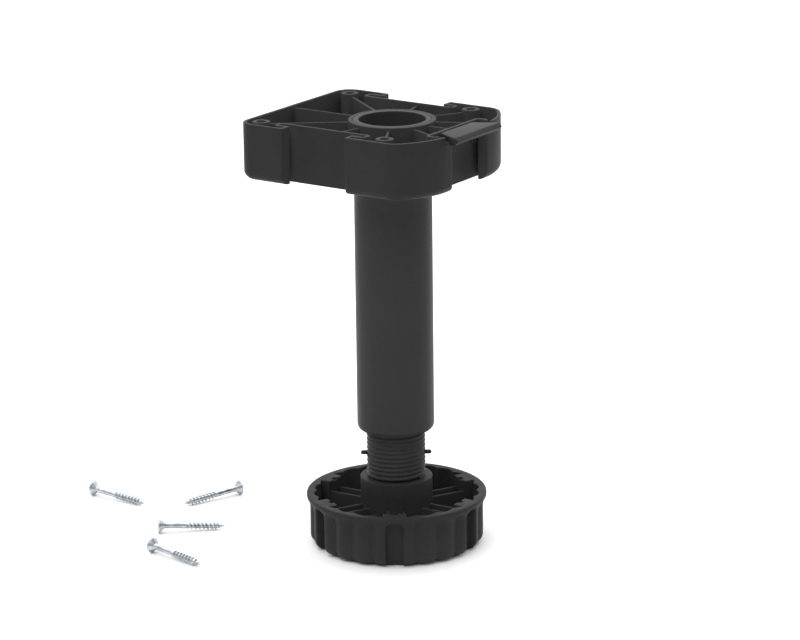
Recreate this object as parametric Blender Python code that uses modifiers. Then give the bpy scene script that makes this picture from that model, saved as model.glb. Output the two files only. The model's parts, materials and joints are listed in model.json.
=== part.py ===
"""Adjustable cabinet leg: ribbed mounting plate, tube, threaded foot and its loose screws.

+Z is up. The origin is on the floor, on the axis of the tube and the foot.
X runs along the plate's wide direction, Y across it.
Sizes are in mm, turned into Blender's metres as each mesh is made.
"""

import math

import bmesh
import bpy
from mathutils import Matrix, Vector

# ---------------------------------------------------------------- shared dimensions
MM = 0.001                 # metres in a millimetre
GAP = 0.3                  # clearance between touching pieces
THROUGH = 5.0              # how far a cutter reaches past the face it opens
ROUND_SEG = 48             # segments round the large turned shapes

# mounting plate: outline
TOP_Z = 191.6              # cabinet side of the plate
PLATE_H = 25.0
PLATE_Z0 = TOP_Z - PLATE_H
PLATE_X0, PLATE_X1 = -53.1, 39.6
PLATE_Y = 41.0             # half depth
CORNER_R_BACK = 7.5        # corners on the -X side
BEND_X, BEND_Y = 28.4, 26.6    # where each +X corner is cut off at a slant, with soft bends
BEND_R_SIDE, BEND_R_END = 10.0, 33.0
BOTTOM_ROUND = 4.0
PLATE_WALL = 1.6
PLATE_FLOOR = 2.2

# mounting plate: T slots, one in each long side and one in the +X end
HOOK_L = 6.0               # how far a slot widens behind each of its hooks
SIDE_MOUTH_X0, SIDE_MOUTH_X1 = -29.0, 3.0
SIDE_SLOT_X0, SIDE_SLOT_X1 = SIDE_MOUTH_X0 - HOOK_L, SIDE_MOUTH_X1 + HOOK_L
SIDE_HOOK_Y, SIDE_WALL_Y = 35.2, 32.4
END_MOUTH_Y = 13.0
END_SLOT_Y = END_MOUTH_Y + HOOK_L
END_HOOK_X, END_WALL_X = 35.0, 31.8
MOUTH_R, HOOK_R, SLOT_CORNER_R = 1.2, 0.8, 0.6    # fillets, from the outer face inwards
SLOT_CUT_R = 0.4           # fillet on a slot cutter's outer corners
SLOT_CUT_REACH = 9.0       # how far a slot cutter reaches out of the plate
MIN_FILLET = 0.4           # smallest fillet left by an offset

# mounting plate: bosses, collar and ribs
BOSS_PITCH_X = 64.0
BOSS_X0 = -45.3
BOSS_Y = 33.4
BOSS_R = 3.9
BOSS_BASE = 0.9            # bosses and ribs start this far up inside the plate's floor
BOSS_HOLE_R = 2.0
SINK_R, SINK_TIP_R = 3.8, 1.2    # countersink cone, from below the plate up into the boss
SINK_BELOW, SINK_DEPTH = 1.0, 1.6
RIB_T = 1.2
RIB_DROP = 1.0             # rib tops below the plate top
RIB_OVERLAP = 1.0          # rib ends inside the collar
SIDE_RIB_ANGLE = math.radians(104.0)
SLANT_RIB_Y = 15.0         # where the two slanting ribs meet the wall of the end slot
COLLAR_R = 19.0
COLLAR_BASE = 0.7

# support lip
LIP_Y = 18.0               # half length at the nose
LIP_Y_BACK = 12.0          # half length at the back edge, nearest the tube
LIP_X0 = 33.0
LIP_NOSE_X = 43.5          # where the flat top ends
LIP_SEAT = 2.3             # thickness over the wall
SEAT_CUT_L = 30.0          # size of the cutter that seats the lip
SEAT_CUT_ABOVE = 2.0
# (x, depth below the plate top) round the lip's section
LIP_SECTION = (
    (LIP_X0, 0.0), (LIP_X0, LIP_SEAT), (39.9, LIP_SEAT),
    (40.2, 4.0), (43.6, 3.2), (45.2, 1.4), (LIP_NOSE_X, 0.0),
)
# (y, depth below the plate top) round the +Y foot of the lip
LIP_FOOT = (
    (9.5, 1.2), (9.5, 8.3), (17.4, 8.3), (17.4, 3.0), (11.6, 3.0), (11.6, 1.2),
)
LIP_FOOT_INSET = 0.2       # lip's back edge to the feet

# tube and its threaded bush
TUBE_R = 16.95
TUBE_BORE_R = 14.5
TUBE_Z0 = 52.2
TUBE_TOP_CHAMFER = 0.4
TUBE_END_ROUND = 2.8       # the lower end curls inwards
TUBE_END_R = 13.3          # opening in the curled end
TUBE_END_H = 2.8
BUSH_Z0 = TUBE_Z0 + TUBE_END_H + GAP
BUSH_Z1 = 72.0
BUSH_R = TUBE_BORE_R - GAP
BUSH_BLANK_BORE_R = 8.0    # bore before the thread is cut
BUSH_CHAMFER = 0.5
COLLAR_BORE_R = TUBE_R + GAP

# thread: a low, soft V, single start, right hand
PITCH = 2.0
THREAD_ROOT_R = 12.25
THREAD_CREST_R = 12.95
THREAD_Z0 = 29.4           # height of a root on the +X side, below the stem's shoulder
THREAD_TURNS = 29
THREAD_SEG = 20
THREAD_PLAY = 0.35
GROOVE_START_TURN = 10     # the bush's groove starts this many turns up the stem's thread
GROOVE_SPARE_TURNS = 2

# stem and its stop pin
STEM_Z0 = 30.83
STEM_Z1 = 85.45
STEM_CHAMFER = 1.2
STEM_TRIM_CLEAR = 0.4      # trimming shape outside the thread's crest
SPIGOT_R = 11.0
SPIGOT_Z0 = 4.8
SPIGOT_CHAMFER = 0.6
SPIGOT_OVERLAP = 0.6
STEM_BORE_R = 8.0
STEM_BORE_Z0 = 9.0
PIN_Z = 40.9
PIN_R = 0.95
PIN_L = 31.3
PIN_ANGLE = math.radians(34.07)
PIN_HOLE_CUT_L = 40.0

# foot: tray
FOOT_Z0 = 0.3
FOOT_ROUND = 4.6           # rounding of the bottom edge
RIM_Z = 23.2
RIM_H = 1.9
RIM_BLEND = 4.5            # height over which the skirt runs out into the rim
RIM_BLEND_STEPS = (0.45, 0.8)
RIM_BLEND_POWER = 2.2
RIM_R = 39.8
RIM_CHAMFER = 0.35
SKIRT_R = 38.5             # on the crest of a lobe
LOBE_D = 1.5
LOBES = 24
LOBE_STEPS = 4
SKIRT_WALL = 1.9
FLOOR_Z = 4.5

# foot: hub, and the slots with their pads and ribs
HUB_R = 15.9
HUB_Z = 30.5
HUB_CHAMFER = 0.3
HUB_SUNK = 1.0             # depths to which the hub, pads and ribs start below the floor
PAD_SUNK = 0.7
FOOT_RIB_SUNK = 0.6
HUB_BORE_R = SPIGOT_R + GAP
SLOTS = 6
SLOT_ANGLE0 = math.radians(-57.6)
SLOT_W = 7.4
SLOT_R, SLOT_CUT_R1 = 34.2, 46.0    # radial reach of a slot's cutter
SLOT_CUT_Z0 = -3.0
SLOT_TOP = 20.6
SLOT_ARCH_H = 2.4
PAD_W = 10.0
PAD_R0, PAD_R1 = 32.0, 36.7
PAD_DROP = 0.1             # pad tops below the rim
FOOT_RIB_T = 1.2
FOOT_RIB_L = 18.0
FOOT_RIB_MID_R = 24.0
FOOT_RIB_APART = 7.0
FOOT_RIB_Z = 18.4
NOTCH_SIZE = (2.6, 3.0, 1.6)    # radial, across, up
NOTCH_SHIFT = 0.3          # notch's middle outside the pad's inner face

# floor glide
GLIDE_R = 30.0
GLIDE_T = 1.8
GLIDE_TOP_CHAMFER = 0.3
GLIDE_FLOOR_CHAMFER = 0.5
RECESS_CUT_Z0 = -5.0

# countersunk wood screws, 3.5 x 30
SCREW_L = 30.0
SCREW_HEAD_R = 3.4
SCREW_HEAD_EDGE = 0.35
SCREW_SHANK_R = 1.3
SCREW_CORE_R = 1.1
SCREW_THREAD_R = 1.75
SCREW_PITCH = 1.8
SCREW_RIDGE_W = 0.9        # width of the thread's ridge at the core
SCREW_THREAD_FROM = 12.6   # head's face to the thread
SCREW_TAPER_L = 3.9
SCREW_TIP_R = 0.35
SCREW_SEG = 8
CROSS_L, CROSS_W, CROSS_H = 3.6, 0.8, 3.0    # one bar of the cross cutter
SCREW_REST = 4.0           # tip to where the thread is taken to rest on the floor
SCREW_LIFT = 0.05
SCREW_ROLL = 17            # degrees more about its own axis for each screw
# middle of each screw on the floor (x, y) and the plan direction from head to tip (degrees)
SCREWS = (
    (-137.9, -24.5, 0.0),
    (-101.6, -1.4, 248.0),
    (-84.3, -39.8, 41.5),
    (-67.0, -73.9, -8.0),
)

BLACK = (0.022, 0.022, 0.023)
LIP_BLACK = (0.030, 0.030, 0.031)
RUBBER = (0.012, 0.012, 0.012)
ZINC = (0.74, 0.78, 0.82)

MERGE_DIST = 1e-6          # metres
SHARP_ANGLE = math.radians(35)

# ---------------------------------------------------------------- scene
for old in list(bpy.data.objects):
    bpy.data.objects.remove(old, do_unlink=True)

parts = bpy.data.collections.new("leveling_foot")
cutters = bpy.data.collections.new("leveling_foot_cutters")
bpy.context.scene.collection.children.link(parts)
bpy.context.scene.collection.children.link(cutters)


def material(name, color, roughness, metallic=0.0):
    mat = bpy.data.materials.new(name)
    mat.use_nodes = True
    bsdf = mat.node_tree.nodes["Principled BSDF"]
    bsdf.inputs["Base Color"].default_value = (*color, 1.0)
    bsdf.inputs["Roughness"].default_value = roughness
    bsdf.inputs["Metallic"].default_value = metallic
    mat.diffuse_color = (*color, 1.0)
    return mat


def add(name, mesh, collection=parts):
    obj = bpy.data.objects.new(name, mesh)
    collection.objects.link(obj)
    return obj


def combine(obj, operation, name, mesh):
    """Joins mesh to obj, or cuts it, with a Boolean on a hidden helper object."""
    mesh.name = name
    helper = add(name, mesh, cutters)
    helper.hide_render = True
    helper.display_type = "WIRE"
    mod = obj.modifiers.new(name, "BOOLEAN")
    mod.operation = operation
    mod.solver = "EXACT"
    mod.object = helper


# ---------------------------------------------------------------- mesh builders
def finish_bmesh(bm):
    bmesh.ops.recalc_face_normals(bm, faces=bm.faces[:])
    mesh = bpy.data.meshes.new("mesh")
    bm.to_mesh(mesh)
    bm.free()
    return mesh


def take_bmesh(mesh):
    """A bmesh with the content of mesh, which is removed."""
    bm = bmesh.new()
    bm.from_mesh(mesh)
    bpy.data.meshes.remove(mesh)
    return bm


def evaluated_mesh(obj):
    """The mesh of obj with its modifiers applied; obj itself is removed."""
    depsgraph = bpy.context.evaluated_depsgraph_get()
    depsgraph.update()
    mesh = bpy.data.meshes.new_from_object(obj.evaluated_get(depsgraph))
    matrix = obj.matrix_world.copy()
    bpy.data.objects.remove(obj, do_unlink=True)
    mesh.transform(matrix)
    return mesh


def turned(name, profile, steps, collection=parts, pitch=0.0, turns=1):
    """Revolves (radius, height) points about Z with a Screw modifier.

    A profile is closed on itself unless it starts on the axis or climbs a helix.
    """
    verts = [(radius * MM, 0.0, z * MM) for radius, z in profile]
    edges = [(i, i + 1) for i in range(len(verts) - 1)]
    if pitch == 0.0 and profile[0][0] > 1e-6:
        edges.append((len(verts) - 1, 0))
    mesh = bpy.data.meshes.new(name)
    mesh.from_pydata(verts, edges, [])
    obj = add(name, mesh, collection)
    mod = obj.modifiers.new("turn", "SCREW")
    mod.axis = "Z"
    mod.angle = 2 * math.pi
    mod.steps = steps
    mod.render_steps = steps
    mod.screw_offset = pitch * MM
    mod.iterations = turns
    mod.use_merge_vertices = pitch == 0.0
    mod.merge_threshold = 0.00001
    mod.use_smooth_shade = False
    return obj


def turned_bmesh(profile, steps, pitch=0.0, turns=1):
    bm = take_bmesh(evaluated_mesh(turned("profile", profile, steps, cutters, pitch, turns)))
    bmesh.ops.remove_doubles(bm, verts=bm.verts, dist=MERGE_DIST)
    return bm


def turned_mesh(profile, steps):
    return finish_bmesh(turned_bmesh(profile, steps))


def threaded_rod_mesh(section, pitch, turns, steps):
    """A solid threaded rod: an open (radius, height) section one pitch tall, swept up the helix.

    Each turn's top edge meets the next turn's bottom edge; a point on the axis closes each end.
    """
    bm = turned_bmesh(section, steps, pitch, turns)
    low = section[0][1] + pitch / 2
    high = low + turns * pitch
    low_tip = bm.verts.new((0, 0, low * MM))
    high_tip = bm.verts.new((0, 0, high * MM))
    middle = (low + high) / 2 * MM
    for edge in [edge for edge in bm.edges if edge.is_boundary]:
        start, end = edge.verts
        tip = low_tip if (start.co.z + end.co.z) / 2 < middle else high_tip
        bm.faces.new((start, end, tip))
    return finish_bmesh(bm)


def flat_mesh(outline, z0, z1):
    """A closed outline, filled and extruded from z0 to z1.

    The curve is drawn in mm and its mesh is scaled down, which keeps the fill exact.
    """
    curve = bpy.data.curves.new("outline", "CURVE")
    curve.dimensions = "2D"
    curve.fill_mode = "BOTH"
    curve.extrude = (z1 - z0) / 2
    spline = curve.splines.new("POLY")
    spline.points.add(len(outline) - 1)
    for point, (x, y) in zip(spline.points, outline):
        point.co = (x, y, 0.0, 1.0)
    spline.use_cyclic_u = True
    obj = add("outline", curve, cutters)
    obj.location.z = (z0 + z1) / 2
    bpy.context.view_layer.update()
    bm = take_bmesh(evaluated_mesh(obj))
    bmesh.ops.remove_doubles(bm, verts=bm.verts, dist=1e-3)
    bmesh.ops.scale(bm, vec=(MM, MM, MM), verts=bm.verts)
    return finish_bmesh(bm)


def boxes_mesh(boxes):
    """Boxes given as (centre, size, turn about Z in radians)."""
    bm = bmesh.new()
    for centre, size, turn in boxes:
        made = bmesh.ops.create_cube(bm, size=1.0)
        matrix = (
            Matrix.Translation(Vector(centre) * MM)
            @ Matrix.Rotation(turn, 4, "Z")
            @ Matrix.Diagonal((*(length * MM for length in size), 1.0))
        )
        bmesh.ops.transform(bm, matrix=matrix, verts=made["verts"])
    return finish_bmesh(bm)


def cylinders_mesh(places, z0, z1, radius, segments, top_radius=None):
    """Equal upright cylinders, or cones if top_radius is given, at each (x, y)."""
    bm = bmesh.new()
    for x, y in places:
        bmesh.ops.create_cone(
            bm,
            cap_ends=True,
            segments=segments,
            radius1=radius * MM,
            radius2=(radius if top_radius is None else top_radius) * MM,
            depth=(z1 - z0) * MM,
            matrix=Matrix.Translation(Vector((x, y, (z0 + z1) / 2)) * MM),
        )
    return finish_bmesh(bm)


AXIS = [(0, 0)]            # the one place of a cylinder about the leg's axis


# ---------------------------------------------------------------- outlines
def rounded_outline(corners, steps):
    """Points of a closed outline with a fillet at each (x, y, radius) corner."""
    points = []
    for i, (x, y, radius) in enumerate(corners):
        corner = Vector((x, y))
        to_last = (Vector(corners[i - 1][:2]) - corner).normalized()
        to_next = (Vector(corners[(i + 1) % len(corners)][:2]) - corner).normalized()
        half = to_last.angle(to_next) / 2
        reach = radius / math.tan(half)
        centre = corner + (to_last + to_next).normalized() * (radius / math.sin(half))
        start = corner + to_last * reach - centre
        end = corner + to_next * reach - centre
        turn = start.angle_signed(end)
        for k in range(steps + 1):
            cos, sin = math.cos(-turn * k / steps), math.sin(-turn * k / steps)
            points.append((
                centre.x + start.x * cos - start.y * sin,
                centre.y + start.x * sin + start.y * cos,
            ))
    return points


def offset_corners(corners, inset):
    """Corners (x, y, fillet) of an anticlockwise outline, moved inwards; fillets grow or shrink."""
    moved = []
    for i, (x, y, radius) in enumerate(corners):
        corner = Vector((x, y))
        come = (corner - Vector(corners[i - 1][:2])).normalized()
        leave = (Vector(corners[(i + 1) % len(corners)][:2]) - corner).normalized()
        come_normal = Vector((-come.y, come.x))
        leave_normal = Vector((-leave.y, leave.x))
        shift = (come_normal + leave_normal) * (inset / (1 + come_normal.dot(leave_normal)))
        corner = corner + shift
        convex = come.x * leave.y - come.y * leave.x > 0
        fillet = radius - inset if convex else radius + inset
        moved.append((corner.x, corner.y, max(MIN_FILLET, fillet)))
    return moved


def flipped(corners):
    """The mirror image across the X axis, reversed so that it runs the same way round."""
    return [(x, -y, radius) for x, y, radius in reversed(corners)]


def mirrored(half):
    """The half outline on the -Y side, then its mirror image on the +Y side."""
    return half + flipped(half)


# Corners (x, y, fillet) inside the -Y slot, and inside the -Y half of the end slot
SIDE_SLOT = [
    (SIDE_MOUTH_X0, -SIDE_HOOK_Y, HOOK_R), (SIDE_SLOT_X0, -SIDE_HOOK_Y, SLOT_CORNER_R),
    (SIDE_SLOT_X0, -SIDE_WALL_Y, SLOT_CORNER_R), (SIDE_SLOT_X1, -SIDE_WALL_Y, SLOT_CORNER_R),
    (SIDE_SLOT_X1, -SIDE_HOOK_Y, SLOT_CORNER_R), (SIDE_MOUTH_X1, -SIDE_HOOK_Y, HOOK_R),
]
END_SLOT_HALF = [
    (END_HOOK_X, -END_MOUTH_Y, HOOK_R), (END_HOOK_X, -END_SLOT_Y, SLOT_CORNER_R),
    (END_WALL_X, -END_SLOT_Y, SLOT_CORNER_R),
]
BACK_CORNER = (PLATE_X0, -PLATE_Y, CORNER_R_BACK)
BENDS = [(BEND_X, -PLATE_Y, BEND_R_SIDE), (PLATE_X1, -BEND_Y, BEND_R_END)]


# ---------------------------------------------------------------- mounting plate
def plate_blank_mesh():
    """The plate's outline without slots, solid, with a rounded bottom edge."""
    outline = rounded_outline(mirrored([BACK_CORNER] + BENDS), 5)
    bm = take_bmesh(flat_mesh(outline, PLATE_Z0, TOP_Z))
    bottom_edges = [
        edge for edge in bm.edges
        if all(abs(vert.co.z - PLATE_Z0 * MM) < 1e-6 for vert in edge.verts)
        and any(abs(face.normal.z) < 0.1 for face in edge.link_faces)
    ]
    bmesh.ops.bevel(
        bm, geom=bottom_edges, offset=BOTTOM_ROUND * MM, segments=4, profile=0.5,
        affect="EDGES", clamp_overlap=True,
    )
    bmesh.ops.remove_doubles(bm, verts=bm.verts, dist=MERGE_DIST)
    return finish_bmesh(bm)


def cut_plate_slots(plate):
    """T slots through the full height, open at the outer faces."""
    side_y = -PLATE_Y - SLOT_CUT_REACH
    side = [(SIDE_MOUTH_X0, side_y, SLOT_CUT_R), (SIDE_MOUTH_X1, side_y, SLOT_CUT_R)]
    side += reversed(SIDE_SLOT)
    end_x = PLATE_X1 + SLOT_CUT_REACH
    end = [(end_x, -END_MOUTH_Y, SLOT_CUT_R), (end_x, END_MOUTH_Y, SLOT_CUT_R)]
    end += reversed(mirrored(END_SLOT_HALF))
    for name, corners in (
        ("plate_slot_end", end), ("plate_slot_a", side), ("plate_slot_b", flipped(side)),
    ):
        outline = rounded_outline(corners, 1)
        mesh = flat_mesh(outline, PLATE_Z0 - THROUGH, TOP_Z + THROUGH)
        combine(plate, "DIFFERENCE", name, mesh)


def hollow_plate(plate):
    """The hollow follows the outline and its slots, one wall thickness inside."""
    corners = mirrored(
        [BACK_CORNER, (SIDE_MOUTH_X0, -PLATE_Y, MOUTH_R)] + SIDE_SLOT
        + [(SIDE_MOUTH_X1, -PLATE_Y, MOUTH_R)] + BENDS
        + [(PLATE_X1, -END_MOUTH_Y, MOUTH_R)] + END_SLOT_HALF
    )
    outline = rounded_outline(offset_corners(corners, PLATE_WALL), 2)
    mesh = flat_mesh(outline, PLATE_Z0 + PLATE_FLOOR, TOP_Z + THROUGH)
    combine(plate, "DIFFERENCE", "plate_hollow", mesh)


def add_plate_ribs(plate, bosses):
    """Upright ribs from the collar to the bosses and to the middles of the walls."""
    half_wall = PLATE_WALL / 2
    end_x = END_WALL_X - half_wall
    ends = bosses + [
        (PLATE_X0 + half_wall, 0.0), (end_x, 0.0), (end_x, SLANT_RIB_Y), (end_x, -SLANT_RIB_Y),
    ]
    reach = (SIDE_WALL_Y - half_wall) / math.sin(SIDE_RIB_ANGLE)
    for side in (-1, 1):
        ends.append((
            reach * math.cos(SIDE_RIB_ANGLE), side * reach * math.sin(SIDE_RIB_ANGLE),
        ))
    height = PLATE_H - BOSS_BASE - RIB_DROP
    middle_z = PLATE_Z0 + BOSS_BASE + height / 2
    start = COLLAR_R - RIB_OVERLAP
    for i, (x, y) in enumerate(ends):
        length = math.hypot(x, y)
        angle = math.atan2(y, x)
        middle = (start + length) / 2
        centre = (middle * math.cos(angle), middle * math.sin(angle), middle_z)
        mesh = boxes_mesh([(centre, (length - start, RIB_T, height), angle)])
        combine(plate, "UNION", f"plate_rib_{i}", mesh)


def build_mounting_plate():
    plate = add("mounting_plate", plate_blank_mesh())
    cut_plate_slots(plate)
    hollow_plate(plate)

    bosses = [(x, y) for x in (BOSS_X0, BOSS_X0 + BOSS_PITCH_X) for y in (-BOSS_Y, BOSS_Y)]
    posts = cylinders_mesh(bosses, PLATE_Z0 + BOSS_BASE, TOP_Z, BOSS_R, 16)
    combine(plate, "UNION", "plate_bosses", posts)
    collar = cylinders_mesh(AXIS, PLATE_Z0 + COLLAR_BASE, TOP_Z, COLLAR_R, ROUND_SEG)
    combine(plate, "UNION", "plate_collar", collar)
    add_plate_ribs(plate, bosses)

    low, high = PLATE_Z0 - THROUGH, TOP_Z + THROUGH
    bore = cylinders_mesh(AXIS, low, high, COLLAR_BORE_R, ROUND_SEG)
    combine(plate, "DIFFERENCE", "plate_bore", bore)
    holes = cylinders_mesh(bosses, low, high, BOSS_HOLE_R, 12)
    combine(plate, "DIFFERENCE", "plate_holes", holes)
    sinks = cylinders_mesh(
        bosses, PLATE_Z0 - SINK_BELOW, PLATE_Z0 + SINK_DEPTH, SINK_R, 16, top_radius=SINK_TIP_R,
    )
    combine(plate, "DIFFERENCE", "plate_sinks", sinks)
    seat = (
        (LIP_X0 - GAP + SEAT_CUT_L / 2, 0.0, TOP_Z + SEAT_CUT_ABOVE),
        (SEAT_CUT_L, 2 * (LIP_Y + GAP), 2 * (SEAT_CUT_ABOVE + LIP_SEAT + GAP)),
        0.0,
    )
    combine(plate, "DIFFERENCE", "plate_lip_seat", boxes_mesh([seat]))
    return plate


# ---------------------------------------------------------------- support lip
def build_support_lip():
    """A strip along Y, shorter at the back: flat top, sloping nose, two feet in the T slot."""
    mesh = flat_mesh([(x, TOP_Z - depth) for x, depth in LIP_SECTION], -LIP_Y, LIP_Y)
    # the section was drawn in X-Y and extruded in Z: stand it up so that it runs along Y
    mesh.transform(Matrix(((1, 0, 0, 0), (0, 0, -1, 0), (0, 1, 0, 0), (0, 0, 0, 1))))
    for vert in mesh.vertices:
        t = min(1.0, (vert.co.x / MM - LIP_X0) / (LIP_NOSE_X - LIP_X0))
        vert.co.y *= (LIP_Y_BACK + (LIP_Y - LIP_Y_BACK) * t) / LIP_Y
    lip = add("support_lip", mesh)
    for side in (-1, 1):
        outline = [(side * y, TOP_Z - depth) for y, depth in LIP_FOOT]
        foot = flat_mesh(outline, LIP_X0 + LIP_FOOT_INSET, END_HOOK_X - GAP)
        # drawn in X-Y and extruded in Z: X becomes Y, Y becomes Z, Z becomes X
        foot.transform(Matrix(((0, 0, 1, 0), (1, 0, 0, 0), (0, 1, 0, 0), (0, 0, 0, 1))))
        combine(lip, "UNION", f"lip_foot_{side}", foot)
    return lip


# ---------------------------------------------------------------- tube and bush
def build_leg_tube():
    profile = [(TUBE_R - TUBE_TOP_CHAMFER, TOP_Z), (TUBE_R, TOP_Z - TUBE_TOP_CHAMFER)]
    for k in range(4):
        angle = math.radians(30 * k)
        profile.append((
            TUBE_R - TUBE_END_ROUND * (1 - math.cos(angle)),
            TUBE_Z0 + TUBE_END_ROUND * (1 - math.sin(angle)),
        ))
    profile += [
        (TUBE_END_R, TUBE_Z0), (TUBE_END_R, TUBE_Z0 + TUBE_END_H),
        (TUBE_BORE_R, TUBE_Z0 + TUBE_END_H), (TUBE_BORE_R, TOP_Z),
    ]
    return turned("leg_tube", profile, ROUND_SEG)


def thread_section(play, z0):
    """One pitch of the V thread as (radius, height), grown outwards by the play."""
    return [
        (THREAD_ROOT_R + play, z0), (THREAD_CREST_R + play, z0 + PITCH / 2),
        (THREAD_ROOT_R + play, z0 + PITCH),
    ]


def build_thread_insert():
    profile = [
        (BUSH_R - BUSH_CHAMFER, BUSH_Z1), (BUSH_R, BUSH_Z1 - BUSH_CHAMFER),
        (BUSH_R, BUSH_Z0 + BUSH_CHAMFER), (BUSH_R - BUSH_CHAMFER, BUSH_Z0),
        (BUSH_BLANK_BORE_R, BUSH_Z0), (BUSH_BLANK_BORE_R, BUSH_Z1),
    ]
    bush = add("thread_insert", turned_mesh(profile, THREAD_SEG * 2))
    first = THREAD_Z0 + GROOVE_START_TURN * PITCH
    turns = math.ceil((BUSH_Z1 - first) / PITCH) + GROOVE_SPARE_TURNS
    groove = threaded_rod_mesh(thread_section(THREAD_PLAY, first), PITCH, turns, THREAD_SEG)
    combine(bush, "DIFFERENCE", "insert_groove", groove)
    return bush


# ---------------------------------------------------------------- stem and its stop pin
def build_threaded_stem():
    rod = threaded_rod_mesh(thread_section(0.0, THREAD_Z0), PITCH, THREAD_TURNS, THREAD_SEG)
    stem = add("threaded_stem", rod)
    trim_r = THREAD_CREST_R + STEM_TRIM_CLEAR
    trim = [
        (0.0, STEM_Z1), (trim_r - STEM_CHAMFER, STEM_Z1), (trim_r, STEM_Z1 - STEM_CHAMFER),
        (trim_r, STEM_Z0), (0.0, STEM_Z0),
    ]
    combine(stem, "INTERSECT", "stem_trim", turned_mesh(trim, THREAD_SEG))
    spigot_top = STEM_Z0 + SPIGOT_OVERLAP
    spigot = [
        (0.0, spigot_top), (SPIGOT_R, spigot_top), (SPIGOT_R, SPIGOT_Z0 + SPIGOT_CHAMFER),
        (SPIGOT_R - SPIGOT_CHAMFER, SPIGOT_Z0), (0.0, SPIGOT_Z0),
    ]
    combine(stem, "UNION", "stem_spigot", turned_mesh(spigot, THREAD_SEG))
    bore = cylinders_mesh(AXIS, STEM_BORE_Z0, STEM_Z1 + THROUGH, STEM_BORE_R, THREAD_SEG)
    combine(stem, "DIFFERENCE", "stem_bore", bore)
    half = PIN_HOLE_CUT_L / 2
    hole = cylinders_mesh(AXIS, -half, half, PIN_R + GAP, 10)
    hole.transform(
        Matrix.Translation((0, 0, PIN_Z * MM)) @ Matrix.Rotation(PIN_ANGLE, 4, "Z")
        @ Matrix.Rotation(math.pi / 2, 4, "Y")
    )
    combine(stem, "DIFFERENCE", "stem_pin_hole", hole)
    return stem


def build_stop_pin():
    """A turned pin with domed ends, laid across the stem."""
    half = PIN_L / 2
    dome = [(0.0, half)]
    for k in range(1, 4):
        angle = math.radians(90 * k / 3)
        dome.append((PIN_R * math.sin(angle), half - PIN_R * (1 - math.cos(angle))))
    pin = turned("stop_pin", dome + [(radius, -z) for radius, z in reversed(dome)], 12)
    pin.location = (0, 0, PIN_Z * MM)
    pin.rotation_euler = (0, math.pi / 2, PIN_ANGLE)
    return pin


# ---------------------------------------------------------------- foot
def skirt_radius(angle):
    """Outer radius of the scalloped skirt; a cusp lies at each slot's middle."""
    along_lobe = ((angle - SLOT_ANGLE0) * LOBES / (2 * math.pi)) % 1.0
    return SKIRT_R - LOBE_D + LOBE_D * math.sin(math.pi * along_lobe)


def foot_tray_mesh():
    """A loft from the round-edged, scalloped base up to the plain round rim, and down inside."""
    n = LOBES * LOBE_STEPS
    angles = [SLOT_ANGLE0 + i * 2 * math.pi / n for i in range(n)]
    skirt = [skirt_radius(angle) for angle in angles]
    inside = [radius - SKIRT_WALL for radius in skirt]
    rim_low = RIM_Z - RIM_H

    # (z, radius at each angle) of every ring
    levels = []
    for k in range(5):
        turn = math.radians(22.5 * k)
        drop = FOOT_ROUND * (1 - math.sin(turn))
        z = FOOT_Z0 + FOOT_ROUND * (1 - math.cos(turn))
        levels.append((z, [radius - drop for radius in skirt]))
    levels.append((rim_low - RIM_BLEND, skirt))
    for t in RIM_BLEND_STEPS:
        blend = [radius + (RIM_R - radius) * t ** RIM_BLEND_POWER for radius in skirt]
        levels.append((rim_low - RIM_BLEND * (1 - t), blend))
    levels += [
        (rim_low, [RIM_R] * n), (RIM_Z - RIM_CHAMFER, [RIM_R] * n),
        (RIM_Z, [RIM_R - RIM_CHAMFER] * n), (RIM_Z, inside), (FLOOR_Z, inside),
    ]

    bm = bmesh.new()
    rings = [
        [
            bm.verts.new((radius * math.cos(a) * MM, radius * math.sin(a) * MM, z * MM))
            for a, radius in zip(angles, radii)
        ]
        for z, radii in levels
    ]
    for ring, next_ring in zip(rings, rings[1:]):
        for i in range(n):
            j = (i + 1) % n
            bm.faces.new((ring[i], ring[j], next_ring[j], next_ring[i]))
    bm.faces.new(list(reversed(rings[0])))
    bm.faces.new(rings[-1])
    return finish_bmesh(bm)


def radial_box(angle, radius, z0, z1, length, width, sideways=0.0):
    """A box for boxes_mesh, its length pointing outwards at the angle."""
    outward = Vector((math.cos(angle), math.sin(angle)))
    across = Vector((-math.sin(angle), math.cos(angle)))
    place = outward * radius + across * sideways
    return ((place.x, place.y, (z0 + z1) / 2), (length, width, z1 - z0), angle)


def foot_slots_mesh(angles):
    """Upright slots with arched tops, open at the bottom."""
    arch = [(-SLOT_W / 2, SLOT_CUT_Z0), (SLOT_W / 2, SLOT_CUT_Z0)]
    for k in range(7):
        turn = math.radians(180 * k / 6)
        arch.append((
            SLOT_W / 2 * math.cos(turn), SLOT_TOP - SLOT_ARCH_H + SLOT_ARCH_H * math.sin(turn),
        ))
    bm = bmesh.new()
    for angle in angles:
        mesh = flat_mesh(arch, SLOT_R, SLOT_CUT_R1)
        # local X is across the slot, local Y is up, local Z is outwards
        cos, sin = math.cos(angle), math.sin(angle)
        mesh.transform(Matrix(((-sin, 0, cos, 0), (cos, 0, sin, 0), (0, 1, 0, 0), (0, 0, 0, 1))))
        bm.from_mesh(mesh)
        bpy.data.meshes.remove(mesh)
    return finish_bmesh(bm)


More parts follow.
